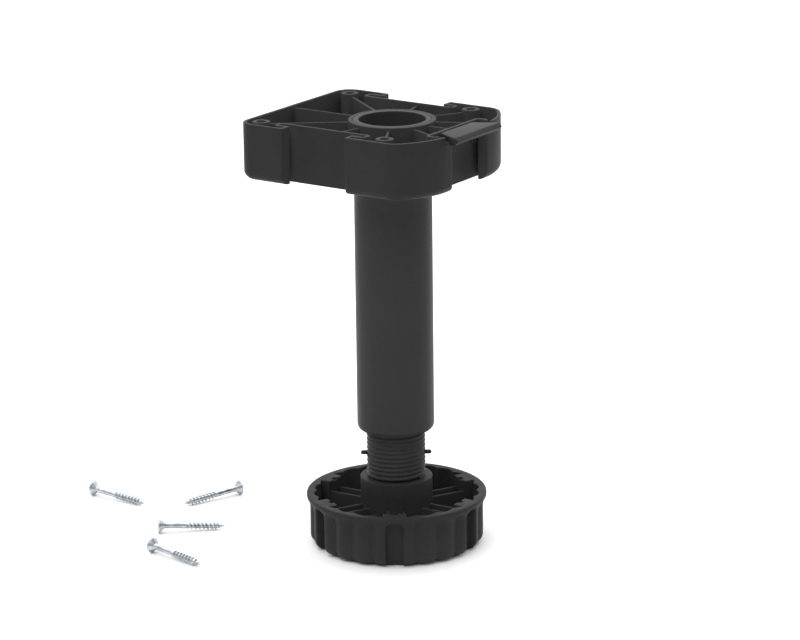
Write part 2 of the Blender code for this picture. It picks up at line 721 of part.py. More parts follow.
def build_foot_base():
    foot = add("foot_base", foot_tray_mesh())
    recess = cylinders_mesh(AXIS, RECESS_CUT_Z0, GLIDE_T + GAP, GLIDE_R + GAP, ROUND_SEG)
    combine(foot, "DIFFERENCE", "foot_recess", recess)
    hub_z0 = FLOOR_Z - HUB_SUNK
    hub = [
        (HUB_BORE_R, hub_z0), (HUB_BORE_R, HUB_Z), (HUB_R - HUB_CHAMFER, HUB_Z),
        (HUB_R, HUB_Z - HUB_CHAMFER), (HUB_R, hub_z0),
    ]
    combine(foot, "UNION", "foot_hub", turned_mesh(hub, ROUND_SEG))

    angles = [SLOT_ANGLE0 + k * 2 * math.pi / SLOTS for k in range(SLOTS)]
    pads = [
        radial_box(angle, (PAD_R0 + PAD_R1) / 2, FLOOR_Z - PAD_SUNK, RIM_Z - PAD_DROP,
                   PAD_R1 - PAD_R0, PAD_W)
        for angle in angles
    ]
    ribs = [
        radial_box(angle, FOOT_RIB_MID_R, FLOOR_Z - FOOT_RIB_SUNK, FOOT_RIB_Z,
                   FOOT_RIB_L, FOOT_RIB_T, sideways=side * FOOT_RIB_APART / 2)
        for angle in angles
        for side in (-1, 1)
    ]
    notch_l, notch_w, notch_h = NOTCH_SIZE
    notches = [
        radial_box(angle, PAD_R0 + NOTCH_SHIFT, RIM_Z - notch_h / 2, RIM_Z + notch_h / 2,
                   notch_l, notch_w)
        for angle in angles
    ]
    combine(foot, "UNION", "foot_pads", boxes_mesh(pads))
    combine(foot, "UNION", "foot_ribs", boxes_mesh(ribs))
    combine(foot, "DIFFERENCE", "foot_slots", foot_slots_mesh(angles))
    combine(foot, "DIFFERENCE", "foot_notches", boxes_mesh(notches))
    return foot


def build_floor_glide():
    profile = [
        (0.0, GLIDE_T), (GLIDE_R - GLIDE_TOP_CHAMFER, GLIDE_T),
        (GLIDE_R, GLIDE_T - GLIDE_TOP_CHAMFER), (GLIDE_R, GLIDE_FLOOR_CHAMFER),
        (GLIDE_R - GLIDE_FLOOR_CHAMFER, 0.0), (0.0, 0.0),
    ]
    return turned("floor_glide", profile, ROUND_SEG)


# ---------------------------------------------------------------- wood screws
def build_screw_mesh():
    """Head at the top, tip at the bottom, on the Z axis; the head's face is at z = 0."""
    end = -SCREW_L
    first = end - 1.0      # the rod starts past the tip and is trimmed back
    next_root = first + SCREW_PITCH
    section = [
        (SCREW_CORE_R, first), (SCREW_CORE_R, next_root - SCREW_RIDGE_W),
        (SCREW_THREAD_R, next_root - SCREW_RIDGE_W / 2), (SCREW_CORE_R, next_root),
    ]
    turns = math.ceil((SCREW_L - SCREW_THREAD_FROM + 2.0) / SCREW_PITCH) + 1
    rod = threaded_rod_mesh(section, SCREW_PITCH, turns, SCREW_SEG)
    body = add("screw_body", rod, cutters)
    trim_r = SCREW_THREAD_R + 0.3
    trim = [
        (0.0, -SCREW_THREAD_FROM), (SCREW_CORE_R + 0.1, -SCREW_THREAD_FROM),
        (trim_r, -SCREW_THREAD_FROM - 1.2), (trim_r, end + SCREW_TAPER_L),
        (SCREW_TIP_R, end), (0.0, end),
    ]
    combine(body, "INTERSECT", "screw_trim", turned_mesh(trim, SCREW_SEG))
    shank_end = -SCREW_THREAD_FROM - 0.3    # overlaps the threaded part
    head = [
        (0.0, 0.0), (SCREW_HEAD_R, 0.0), (SCREW_HEAD_R, -SCREW_HEAD_EDGE),
        (SCREW_SHANK_R + 0.1, -2.6), (SCREW_SHANK_R, -3.2),
        (SCREW_SHANK_R, shank_end), (0.0, shank_end),
    ]
    combine(body, "UNION", "screw_head", turned_mesh(head, 12))
    for name, size in (
        ("screw_cross", (CROSS_L, CROSS_W, CROSS_H)),
        ("screw_cross_2", (CROSS_W, CROSS_L, CROSS_H)),
    ):
        combine(body, "DIFFERENCE", name, boxes_mesh([((0, 0, 0), size, 0.0)]))
    mesh = evaluated_mesh(body)
    mesh.name = "wood_screw"
    return mesh


def place_screws(mesh, axis):
    """Lays the screws on the floor, each resting on its head's edge and its thread."""
    lean = math.atan2(SCREW_HEAD_R - SCREW_THREAD_R, SCREW_L - SCREW_REST)
    head_z = SCREW_HEAD_R * math.cos(lean) + SCREW_LIFT
    for i, (x, y, degrees) in enumerate(SCREWS, 1):
        angle = math.radians(degrees)
        cos, sin = math.cos(angle), math.sin(angle)
        # the screw's -Z (head to tip) lies along the plan direction, dipping by the lean
        tip = Vector((cos * math.cos(lean), sin * math.cos(lean), -math.sin(lean)))
        side = Vector((-sin, cos, 0.0))
        up = -tip
        rotation = Matrix((side.cross(up), side, up)).transposed()
        head = Vector((x - cos * SCREW_L / 2, y - sin * SCREW_L / 2, head_z))
        screw = add(f"wood_screw_{i}", mesh)
        screw.matrix_world = (
            Matrix.Translation(head * MM) @ rotation.to_4x4()
            @ Matrix.Rotation(math.radians(SCREW_ROLL * i), 4, "Z")
        )
        screw.parent = axis


# ---------------------------------------------------------------- assembly
leg_axis = add("leg_axis", None)
foot_axis = add("foot_axis", None)
floor_axis = add("floor_axis", None)

# builder, parent, material
pieces = (
    (build_mounting_plate, leg_axis, material("plate_plastic", color=BLACK, roughness=0.48)),
    (build_support_lip, leg_axis, material("lip_plastic", color=LIP_BLACK, roughness=0.42)),
    (build_leg_tube, leg_axis, material("tube_plastic", color=BLACK, roughness=0.42)),
    (build_thread_insert, leg_axis, material("insert_plastic", color=BLACK, roughness=0.46)),
    (build_threaded_stem, foot_axis, material("stem_plastic", color=BLACK, roughness=0.45)),
    (build_stop_pin, foot_axis, material("pin_plastic", color=BLACK, roughness=0.45)),
    (build_foot_base, foot_axis, material("foot_plastic", color=BLACK, roughness=0.48)),
    (build_floor_glide, floor_axis, material("glide_rubber", color=RUBBER, roughness=0.85)),
)
for build, axis, piece_material in pieces:
    piece = build()
    piece.data.materials.append(piece_material)
    piece.parent = axis

screw_mesh = build_screw_mesh()
screw_mesh.materials.clear()
screw_mesh.materials.append(material("screw_zinc", color=ZINC, roughness=0.28, metallic=1.0))
place_screws(screw_mesh, floor_axis)

for obj in parts.objects:
    if obj.type == "MESH":
        obj.data.shade_smooth()
        obj.data.set_sharp_from_angle(angle=SHARP_ANGLE)
        for mod in obj.modifiers:
            if mod.type == "SCREW":
                mod.use_smooth_shade = True
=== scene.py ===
"""Looks of the adjustable cabinet leg: fine meshes, materials, floor, light and camera."""
import json
import math

import bmesh
import bpy
import numpy as np
from mathutils import Matrix, Vector


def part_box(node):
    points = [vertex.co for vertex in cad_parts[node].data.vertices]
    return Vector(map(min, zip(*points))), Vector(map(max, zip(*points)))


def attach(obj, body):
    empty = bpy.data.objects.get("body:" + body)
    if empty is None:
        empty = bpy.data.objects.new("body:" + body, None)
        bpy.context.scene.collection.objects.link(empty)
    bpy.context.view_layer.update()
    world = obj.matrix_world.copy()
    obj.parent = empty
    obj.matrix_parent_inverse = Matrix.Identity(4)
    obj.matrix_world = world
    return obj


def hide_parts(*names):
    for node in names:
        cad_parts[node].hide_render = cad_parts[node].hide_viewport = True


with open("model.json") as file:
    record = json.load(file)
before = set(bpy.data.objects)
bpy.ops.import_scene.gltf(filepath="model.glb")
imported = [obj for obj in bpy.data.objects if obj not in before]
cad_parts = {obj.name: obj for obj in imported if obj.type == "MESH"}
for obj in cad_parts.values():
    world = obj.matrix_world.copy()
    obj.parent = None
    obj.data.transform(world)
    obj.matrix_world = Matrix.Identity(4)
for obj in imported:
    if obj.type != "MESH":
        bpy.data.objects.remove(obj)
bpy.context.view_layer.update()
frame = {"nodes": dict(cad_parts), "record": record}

MM = 0.001


# ------------------------------------------------------------------ sizes, read from the frame (mm)
def node_box(name):
    lo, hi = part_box(name)
    return [v / MM for v in lo], [v / MM for v in hi]


_plo, _phi = node_box("mounting_plate")
TOP_Z, PLATE_Z0 = _phi[2], _plo[2]
PLATE_X0, PLATE_X1, PLATE_Y = _plo[0], _phi[0], _phi[1]
_tlo, _thi = node_box("leg_tube")
TUBE_R, TUBE_Z0 = _thi[0], _tlo[2]
_ilo, _ihi = node_box("thread_insert")
BUSH_Z0, BUSH_Z1 = _ilo[2], _ihi[2]
_slo, _shi = node_box("threaded_stem")
CREST_R, STEM_Z1 = _shi[0], _shi[2]
SPIGOT_Z0 = _slo[2]
_flo, _fhi = node_box("foot_base")
HUB_Z, FOOT_Z0 = _fhi[2], _flo[2]
_nlo, _nhi = node_box("stop_pin")
PIN_Z, PIN_R = (_nlo[2] + _nhi[2]) / 2, (_nhi[2] - _nlo[2]) / 2
PIN_L = 31.3
PIN_ANGLE = math.radians(34.07)
_glo, _ghi = node_box("floor_glide")
GLIDE_R, GLIDE_T = _ghi[0], _ghi[2]
_llo, _lhi = node_box("support_lip")
LIP_Y, LIP_X0, LIP_X1 = _lhi[1], _llo[0], _lhi[0]

PITCH = abs(2 * math.pi / frame["record"]["behaviour"]["couplings"][0]["ratio"]) / MM
if PITCH < 0.01 or PITCH > 10:
    PITCH = abs(2 * math.pi * frame["record"]["behaviour"]["couplings"][0]["ratio"]) / MM
PITCH = round(PITCH, 3)
THREAD_DEPTH = 0.7
ROOT_R = CREST_R - THREAD_DEPTH
THREAD_Z0 = 29.4            # a root of the thread on +X
PLAY = 0.35

CORNER_R_BACK = 7.5
BEND_X, BEND_Y, BEND_R_SIDE, BEND_R_END = 28.4, 26.6, 10.0, 33.0
SIDE_RECESS_X0, SIDE_RECESS_X1 = -29.0, 3.0
SIDE_SLOT_X0, SIDE_SLOT_X1 = -35.0, 9.0
SIDE_HOOK_Y, SIDE_WALL_Y = 35.2, 32.4
END_RECESS_Y, END_SLOT_Y = 13.0, 19.0
END_HOOK_X, END_WALL_X = 35.0, 31.8
WALL, PLATE_FLOOR, BOTTOM_ROUND = 1.6, 2.2, 4.0
BOSS_X, BOSS_Y, BOSS_R = (-45.3, 18.7), 33.4, 3.9
COLLAR_R, COLLAR_BORE_R = 19.0, 17.25
LIP_Y_BACK, LIP_NOSE_X = 12.0, 43.5
TUBE_BORE_R, TUBE_END_R, TUBE_END_H, TUBE_END_ROUND = 14.5, 13.3, 2.8, 2.8
RIM_Z, RIM_H, RIM_R, RIM_BLEND = 23.2, 1.9, 39.8, 4.5
SKIRT_R, LOBE_D, LOBES, SKIRT_WALL, FOOT_ROUND = 38.5, 1.5, 24, 1.9, 4.6
FLOOR_Z, HUB_R, HUB_BORE_R = 4.5, 15.9, 11.3
SLOTS, SLOT_A0, SLOT_W, SLOT_R, SLOT_TOP = 6, math.radians(-57.6), 7.4, 34.2, 20.6
POCKET_W, POCKET_R = 10.0, 32.0
TICK_ANGLE = math.radians(-56.4)


# ------------------------------------------------------------------ mesh helpers
def clean(bm, name, dist=2e-7):
    if dist:
        bmesh.ops.remove_doubles(bm, verts=bm.verts, dist=dist)
    bmesh.ops.recalc_face_normals(bm, faces=bm.faces[:])
    mesh = bpy.data.meshes.new(name)
    bm.to_mesh(mesh)
    bm.free()
    return mesh


def loft(name, rings, closed=False):
    """Quads between rings of equal length (mm points); the ends are filled unless closed."""
    bm = bmesh.new()
    made = [[bm.verts.new((x * MM, y * MM, z * MM)) for x, y, z in ring] for ring in rings]
    n = len(made[0])
    pairs = list(zip(made, made[1:])) + ([(made[-1], made[0])] if closed else [])
    for a, b in pairs:
        for i in range(n):
            j = (i + 1) % n
            bm.faces.new((a[i], a[j], b[j], b[i]))
    if not closed:
        bm.faces.new(list(reversed(made[0])))
        bm.faces.new(made[-1])
    return clean(bm, name, 0)


def lathe(name, profile, steps, turn=0.0):
    """A (radius, z) outline in mm revolved about Z; it may start and end on the axis."""
    bm = bmesh.new()
    rings = []
    for r, z in profile:
        if r < 1e-6:
            rings.append([bm.verts.new((0, 0, z * MM))])
        else:
            rings.append([
                bm.verts.new((r * MM * math.cos(turn + 2 * math.pi * i / steps),
                              r * MM * math.sin(turn + 2 * math.pi * i / steps), z * MM))
                for i in range(steps)])
    open_axis = len(rings[0]) == 1 or len(rings[-1]) == 1
    pairs = list(zip(rings, rings[1:])) + ([] if open_axis else [(rings[-1], rings[0])])
    for a, b in pairs:
        for i in range(steps):
            j = (i + 1) % steps
            if len(a) == 1 and len(b) == 1:
                continue
            if len(a) == 1:
                bm.faces.new((a[0], b[j], b[i]))
            elif len(b) == 1:
                bm.faces.new((a[i], a[j], b[0]))
            else:
                bm.faces.new((a[i], a[j], b[j], b[i]))
    return clean(bm, name, 0)


def rounded_profile(points, steps=3):
    """(r, z, fillet) corners of an open turned outline, with each fillet worked out."""
    out = []
    for i, item in enumerate(points):
        x, y, r = (*item, 0.0)[:3] if len(item) == 2 else item
        if r <= 0 or i == 0 or i == len(points) - 1:
            out.append((x, y))
            continue
        out.extend(fillet(points[i - 1][:2], (x, y), points[i + 1][:2], r, steps))
    return out


def fillet(prev, at, nxt, r, steps):
    p = Vector(at)
    a, b = (Vector(prev) - p).normalized(), (Vector(nxt) - p).normalized()
    angle = a.angle(b)
    if angle > math.pi - 1e-4:
        return [tuple(at)]
    half = angle / 2
    reach = r / math.tan(half)
    centre = p + (a + b).normalized() * (r / math.sin(half))
    start, end = p + a * reach - centre, p + b * reach - centre
    turn = -start.angle_signed(end)
    return [
        (centre.x + start.x * math.cos(turn * k / steps) - start.y * math.sin(turn * k / steps),
         centre.y + start.x * math.sin(turn * k / steps) + start.y * math.cos(turn * k / steps))
        for k in range(steps + 1)]


def closed_outline(corners, steps):
    out = []
    n = len(corners)
    for i in range(n):
        out.extend(fillet(corners[i - 1][:2], corners[i][:2], corners[(i + 1) % n][:2],
                          max(corners[i][2], 1e-3), steps))
    return out


def boolean(mesh, other, operation):
    """Both meshes are used up; the result is a new mesh."""
    a = bpy.data.objects.new("bool_a", mesh)
    b = bpy.data.objects.new("bool_b", other)
    for o in (a, b):
        bpy.context.scene.collection.objects.link(o)
    mod = a.modifiers.new("b", "BOOLEAN")
    mod.operation, mod.solver, mod.object = operation, "EXACT", b
    dg = bpy.context.evaluated_depsgraph_get()
    dg.update()
    out = bpy.data.meshes.new_from_object(a.evaluated_get(dg))
    out.name = mesh.name
    for o in (a, b):
        bpy.data.objects.remove(o, do_unlink=True)
    return out


def join(meshes, name):
    bm = bmesh.new()
    for m in meshes:
        bm.from_mesh(m)
        bpy.data.meshes.remove(m)
    mesh = bpy.data.meshes.new(name)
    bm.to_mesh(mesh)
    bm.free()
    return mesh


def moved(mesh, matrix):
    mesh.transform(matrix)
    return mesh


def bar(name, length, width, height, top_round=0.3, steps=3, draft=0.0):
    """A bar along +X from x = 0, centred on Y, standing on z = 0, with a rounded top."""
    w0, w1, r = width / 2 + draft, width / 2, top_round
    section = [(-w0, 0.0)] + fillet((-w0, 0), (-w1, height), (w1, height), r, steps) \
        + fillet((-w1, height), (w1, height), (w0, 0), r, steps) + [(w0, 0.0)]
    rings = [[(x, y, z) for y, z in section] for x in (0.0, length)]
    return loft(name, rings)


def place(mesh, x, y, z, angle):
    return moved(mesh, Matrix.Translation(Vector((x, y, z)) * MM) @ Matrix.Rotation(angle, 4, "Z"))


def helix_rod(name, radius, z0, z1, pitch, rows_per_pitch, seg):
    """A rod whose rows of points climb with the helix. radius(z, phase) is in mm; phase runs 0..1."""
    bm = bmesh.new()
    ds = pitch / rows_per_pitch
    rows = int(round((z1 - z0) / ds))
    grid = {}
    for j in range(seg):
        a = 2 * math.pi * j / seg
        c, s = math.cos(a), math.sin(a)
        for k in range(rows + rows_per_pitch + 1 if j == 0 else rows + 1):
            z = z0 + k * ds + pitch * j / seg
            r = radius(z, (k % rows_per_pitch) / rows_per_pitch)
            grid[j, k] = bm.verts.new((r * c * MM, r * s * MM, z * MM))

    def at(j, k):
        return grid[j, k] if j < seg else grid[0, k + rows_per_pitch]

    for j in range(seg):
        for k in range(rows):
            bm.faces.new((at(j, k), at(j + 1, k), at(j + 1, k + 1), at(j, k + 1)))
    ends = [bm.verts.new((0, 0, (z0 + pitch / 2) * MM)), bm.verts.new((0, 0, (z1 + pitch / 2) * MM))]
    mid = (z0 + z1 + pitch) / 2 * MM
    for e in [e for e in bm.edges if e.is_boundary]:
        at_z = (e.verts[0].co.z + e.verts[1].co.z) / 2
        bm.faces.new((e.verts[0], e.verts[1], ends[0] if at_z < mid else ends[1]))
    return clean(bm, name, 0)


# ------------------------------------------------------------------ materials
def nodes_of(name):
    mat = bpy.data.materials.new(name)
    mat.use_nodes = True
    nt = mat.node_tree
    return mat, nt, nt.nodes["Principled BSDF"]


def link(nt, a, b):
    nt.links.new(a, b)


def plastic(name, color, rough, grain=0.012, grain_scale=2600.0, edge=2.2, spread=0.07, sheen=0.065, nook=0.0, reach=0.022):
    """Moulded black plastic: fine sparked grain, slow changes of gloss, paler edges that are partly wear and partly a
    painted highlight.

    nook lightens the colour where the surface is shut in by its neighbours. It stands in
    for fill light in the recesses; it isn't a property of the plastic."""
    mat, nt, bsdf = nodes_of(name)
    N = nt.nodes
    coord = N.new("ShaderNodeTexCoord")
    fine = N.new("ShaderNodeTexNoise")
    fine.inputs["Scale"].default_value = grain_scale
    fine.inputs["Detail"].default_value = 3.0
    fine.inputs["Roughness"].default_value = 0.62
    link(nt, coord.outputs["Object"], fine.inputs["Vector"])
    slow = N.new("ShaderNodeTexNoise")
    slow.inputs["Scale"].default_value = 46.0
    slow.inputs["Detail"].default_value = 4.0
    slow.inputs["Roughness"].default_value = 0.55
    link(nt, coord.outputs["Object"], slow.inputs["Vector"])
    flow = N.new("ShaderNodeMapping")
    flow.inputs["Scale"].default_value = (620.0, 620.0, 22.0)
    link(nt, coord.outputs["Object"], flow.inputs["Vector"])
    lines = N.new("ShaderNodeTexNoise")
    lines.inputs["Scale"].default_value = 1.0
    lines.inputs["Detail"].default_value = 2.0
    link(nt, flow.outputs["Vector"], lines.inputs["Vector"])

    # colour: base, slow mottling, then the pale edge, which is partly wear whitening and partly a painted highlight
    # along rims and rib tops
    ramp = N.new("ShaderNodeValToRGB")
    ramp.color_ramp.elements[0].position = 0.34
    ramp.color_ramp.elements[1].position = 0.68
    ramp.color_ramp.elements[0].color = (*[c * (1 - spread) for c in color], 1)
    ramp.color_ramp.elements[1].color = (*[c * (1 + spread) for c in color], 1)
    link(nt, slow.outputs["Fac"], ramp.inputs["Fac"])
    bevel = N.new("ShaderNodeBevel")
    bevel.samples = 4
    bevel.inputs["Radius"].default_value = 0.00045
    geo = N.new("ShaderNodeNewGeometry")
    dot = N.new("ShaderNodeVectorMath")
    dot.operation = "DOT_PRODUCT"
    link(nt, bevel.outputs["Normal"], dot.inputs[0])
    link(nt, geo.outputs["Normal"], dot.inputs[1])
    # edge mask: paler wherever the bevelled normal turns away, convex or concave; partly wear whitening, partly a
    # painted highlight on thin wall and rib tops
    wear_and_painted_highlight = N.new("ShaderNodeMapRange")
    wear_and_painted_highlight.inputs["From Min"].default_value = 0.995
    wear_and_painted_highlight.inputs["From Max"].default_value = 0.80
    wear_and_painted_highlight.inputs["To Min"].default_value = 0.0
    wear_and_painted_highlight.inputs["To Max"].default_value = 1.0
    link(nt, dot.outputs["Value"], wear_and_painted_highlight.inputs["Value"])
    patch = N.new("ShaderNodeMath")
    patch.operation = "MULTIPLY"
    link(nt, wear_and_painted_highlight.outputs["Result"], patch.inputs[0])
    link(nt, lines.outputs["Fac"], patch.inputs[1])
    mix = N.new("ShaderNodeMix")
    mix.data_type = "RGBA"
    link(nt, patch.outputs["Value"], mix.inputs["Factor"])
    link(nt, ramp.outputs["Color"], mix.inputs[6])
    mix.inputs[7].default_value = (*[c * (1 + edge) for c in color], 1)
    if nook:
        # stand-in for fill light, by how shut in the point is
        deep = N.new("ShaderNodeAmbientOcclusion")
        deep.samples = 8
        deep.inputs["Distance"].default_value = reach
        grey = N.new("ShaderNodeMapRange")
        grey.inputs["From Min"].default_value = 0.85
        grey.inputs["From Max"].default_value = 0.40
        grey.inputs["To Min"].default_value = 1.0
        grey.inputs["To Max"].default_value = 1.0 + nook
        link(nt, deep.outputs["AO"], grey.inputs["Value"])
        skin = N.new("ShaderNodeVectorMath")
        skin.operation = "SCALE"
        link(nt, mix.outputs[2], skin.inputs[0])
        link(nt, grey.outputs["Result"], skin.inputs["Scale"])
        link(nt, skin.outputs["Vector"], bsdf.inputs["Base Color"])
    else:
        link(nt, mix.outputs[2], bsdf.inputs["Base Color"])

    # gloss: slow variation plus faint flow lines
    gloss = N.new("ShaderNodeMath")
    gloss.operation = "MULTIPLY_ADD"
    link(nt, slow.outputs["Fac"], gloss.inputs[0])
    gloss.inputs[1].default_value = 0.16
    gloss.inputs[2].default_value = rough - 0.08
    gloss2 = N.new("ShaderNodeMath")
    gloss2.operation = "MULTIPLY_ADD"
    link(nt, lines.outputs["Fac"], gloss2.inputs[0])
    gloss2.inputs[1].default_value = 0.05
    link(nt, gloss.outputs["Value"], gloss2.inputs[2])
    link(nt, gloss2.outputs["Value"], bsdf.inputs["Roughness"])

    bump = N.new("ShaderNodeBump")
    bump.inputs["Strength"].default_value = 1.0
    bump.inputs["Distance"].default_value = grain * MM
    link(nt, fine.outputs["Fac"], bump.inputs["Height"])
    link(nt, bevel.outputs["Normal"], bump.inputs["Normal"])
    link(nt, bump.outputs["Normal"], bsdf.inputs["Normal"])
    bsdf.inputs["IOR"].default_value = 1.46
    bsdf.inputs["Specular IOR Level"].default_value = sheen
    return mat


def zinc(name):
    """Bright zinc plating: bluish metal, fine tumbling scratches, duller patches."""
    mat, nt, bsdf = nodes_of(name)
    N = nt.nodes
    coord = N.new("ShaderNodeTexCoord")
    patches = N.new("ShaderNodeTexNoise")
    patches.inputs["Scale"].default_value = 420.0
    patches.inputs["Detail"].default_value = 4.0
    link(nt, coord.outputs["Object"], patches.inputs["Vector"])
    ramp = N.new("ShaderNodeValToRGB")
    ramp.color_ramp.elements[0].position = 0.30
    ramp.color_ramp.elements[1].position = 0.72
    ramp.color_ramp.elements[0].color = (0.30, 0.34, 0.37, 1)
    ramp.color_ramp.elements[1].color = (0.60, 0.64, 0.665, 1)
    link(nt, patches.outputs["Fac"], ramp.inputs["Fac"])
    link(nt, ramp.outputs["Color"], bsdf.inputs["Base Color"])
    rough = N.new("ShaderNodeMapRange")
    rough.inputs["To Min"].default_value = 0.20
    rough.inputs["To Max"].default_value = 0.42
    link(nt, patches.outputs["Fac"], rough.inputs["Value"])
    link(nt, rough.outputs["Result"], bsdf.inputs["Roughness"])
    scr = N.new("ShaderNodeTexNoise")
    scr.inputs["Scale"].default_value = 5200.0
    scr.inputs["Detail"].default_value = 2.0
    link(nt, coord.outputs["Object"], scr.inputs["Vector"])
    bump = N.new("ShaderNodeBump")
    bump.inputs["Distance"].default_value = 0.000004
    link(nt, scr.outputs["Fac"], bump.inputs["Height"])
    link(nt, bump.outputs["Normal"], bsdf.inputs["Normal"])
    bsdf.inputs["Metallic"].default_value = 1.0
    return mat


def rubber(name):
    mat, nt, bsdf = nodes_of(name)
    N = nt.nodes
    coord = N.new("ShaderNodeTexCoord")
    noise = N.new("ShaderNodeTexNoise")
    noise.inputs["Scale"].default_value = 1500.0
    noise.inputs["Detail"].default_value = 5.0
    link(nt, coord.outputs["Object"], noise.inputs["Vector"])
    ramp = N.new("ShaderNodeValToRGB")
    ramp.color_ramp.elements[0].color = (0.008, 0.008, 0.008, 1)
    ramp.color_ramp.elements[1].color = (0.020, 0.020, 0.020, 1)
    link(nt, noise.outputs["Fac"], ramp.inputs["Fac"])
    link(nt, ramp.outputs["Color"], bsdf.inputs["Base Color"])
    bump = N.new("ShaderNodeBump")
    bump.inputs["Distance"].default_value = 0.00003
    link(nt, noise.outputs["Fac"], bump.inputs["Height"])
    link(nt, bump.outputs["Normal"], bsdf.inputs["Normal"])
    bsdf.inputs["Roughness"].default_value = 0.82
    return mat


BLACK = (0.0235, 0.0235, 0.0241)
SMOOTH = (0.0310, 0.0310, 0.0317)
MAT = {
    "plate_plastic": plastic("plate_plastic", BLACK, 0.44, edge=1.0, nook=1.3, reach=0.06),
    "lip_plastic": plastic("lip_plastic", (0.0245, 0.0245, 0.0251), 0.42, grain=0.010, edge=1.6, sheen=0.06),
    "tube_plastic": plastic("tube_plastic", SMOOTH, 0.40, grain=0.006, edge=1.4, spread=0.035, nook=0.8),
    "insert_plastic": plastic("insert_plastic", SMOOTH, 0.42, grain=0.006),
    "stem_plastic": plastic("stem_plastic", SMOOTH, 0.42, grain=0.006),
    "foot_plastic": plastic("foot_plastic", BLACK, 0.44, edge=1.0, nook=0.45),
    "glide_rubber": rubber("glide_rubber"),
    "screw_zinc": zinc("screw_zinc"),
}


def piece(name, mesh, body, slot_name, *nodes, sharp=32.0):
    obj = bpy.data.objects.new(name, mesh)
    bpy.context.scene.collection.objects.link(obj)
    mesh.materials.clear()
    mesh.materials.append(MAT[slot_name])
    for p in mesh.polygons:
        p.material_index = 0
    mesh.shade_smooth()
    mesh.set_sharp_from_angle(angle=math.radians(sharp))
    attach(obj, body)
    if nodes:
        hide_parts(*nodes)
    return obj


# ------------------------------------------------------------------ mounting plate
def offset_corners(raw, inset):
    """Corners (x, y, fillet) of an anticlockwise outline, moved inwards; fillets grow or shrink."""
    out = []
    n = len(raw)
    least = 0.4 if inset <= WALL else 0.4 - 0.5 * (inset - WALL)
    for i in range(n):
        x, y, r = raw[i]
        p = Vector((x, y))
        d0 = (p - Vector(raw[i - 1][:2])).normalized()
        d1 = (Vector(raw[(i + 1) % n][:2]) - p).normalized()
        n0, n1 = Vector((-d0.y, d0.x)), Vector((-d1.y, d1.x))
        q = p + (n0 + n1) * (inset / (1 + n0.dot(n1)))
        convex = d0.x * d1.y - d0.y * d1.x > 0
        out.append((q.x, q.y, max(least, r - inset if convex else r + inset)))
    return out


def mirrored(half):
    return half + [(x, -y, r) for x, y, r in reversed(half)]


PLATE_LOOP = mirrored([
    (PLATE_X0, -PLATE_Y, CORNER_R_BACK),
    (SIDE_RECESS_X0, -PLATE_Y, 1.2), (SIDE_RECESS_X0, -SIDE_HOOK_Y, 0.8),
    (SIDE_SLOT_X0, -SIDE_HOOK_Y, 0.6), (SIDE_SLOT_X0, -SIDE_WALL_Y, 0.6),
    (SIDE_SLOT_X1, -SIDE_WALL_Y, 0.6), (SIDE_SLOT_X1, -SIDE_HOOK_Y, 0.6),
    (SIDE_RECESS_X1, -SIDE_HOOK_Y, 0.8), (SIDE_RECESS_X1, -PLATE_Y, 1.2),
    (BEND_X, -PLATE_Y, BEND_R_SIDE), (PLATE_X1, -BEND_Y, BEND_R_END),
    (PLATE_X1, -END_RECESS_Y, 1.2), (END_HOOK_X, -END_RECESS_Y, 0.8),
    (END_HOOK_X, -END_SLOT_Y, 0.6), (END_WALL_X, -END_SLOT_Y, 0.6),
])
BLANK_LOOP = mirrored([
    (PLATE_X0, -PLATE_Y, CORNER_R_BACK), (BEND_X, -PLATE_Y, BEND_R_SIDE),
    (PLATE_X1, -BEND_Y, BEND_R_END),
])


